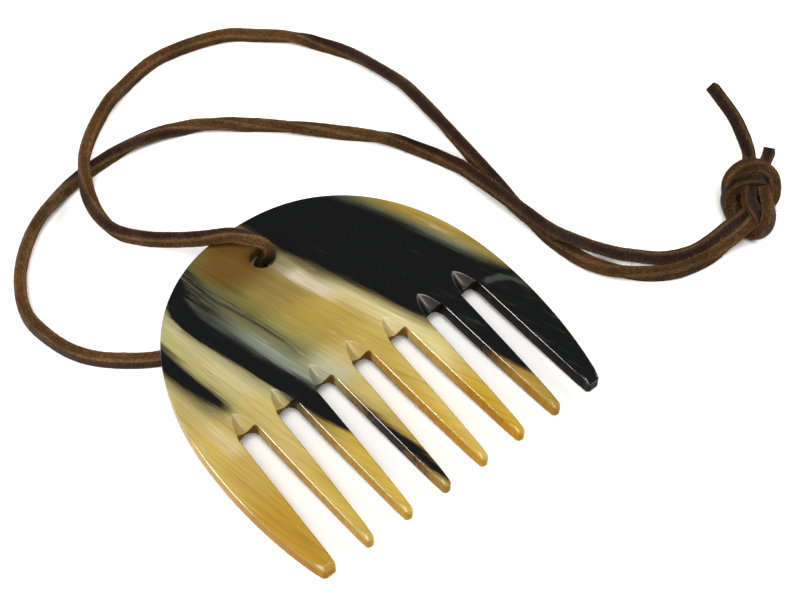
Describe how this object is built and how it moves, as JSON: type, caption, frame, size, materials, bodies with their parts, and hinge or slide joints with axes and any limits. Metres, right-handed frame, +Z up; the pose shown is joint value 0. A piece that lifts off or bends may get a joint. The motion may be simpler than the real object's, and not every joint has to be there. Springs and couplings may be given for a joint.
{
  "type": "beard comb",
  "caption": "Polished horn beard comb with a rounded back, slender tapered teeth between wide guard teeth, and a leather neck lace threaded through its hole and tied in a knot.",
  "frame": {"origin": "below the middle of the comb without its lace, on the surface that it lies on", "axes": "+X across the teeth, +Y from the tooth tips to the lace hole, +Z up from the surface"},
  "size_m": [0.1644, 0.1484, 0.0127],
  "materials": {
    "horn": "polished",
    "lace": "smooth grain face, raw cut sides"
  },
  "bodies": {
    "comb": {"comb": "horn"},
    "lace": {"lace_front": "lace", "lace_back": "lace", "lace_knot": "lace", "lace_tail_long": "lace", "lace_tail_short": "lace"}
  },
  "joints": [
    {"name": "lace_swing", "type": "hinge", "parent": "comb", "child": "lace", "pos_m": [-0.0008, 0.0302, 0.006], "axis": [0, 0, 1], "range_deg": [-15, 15]}
  ]
}
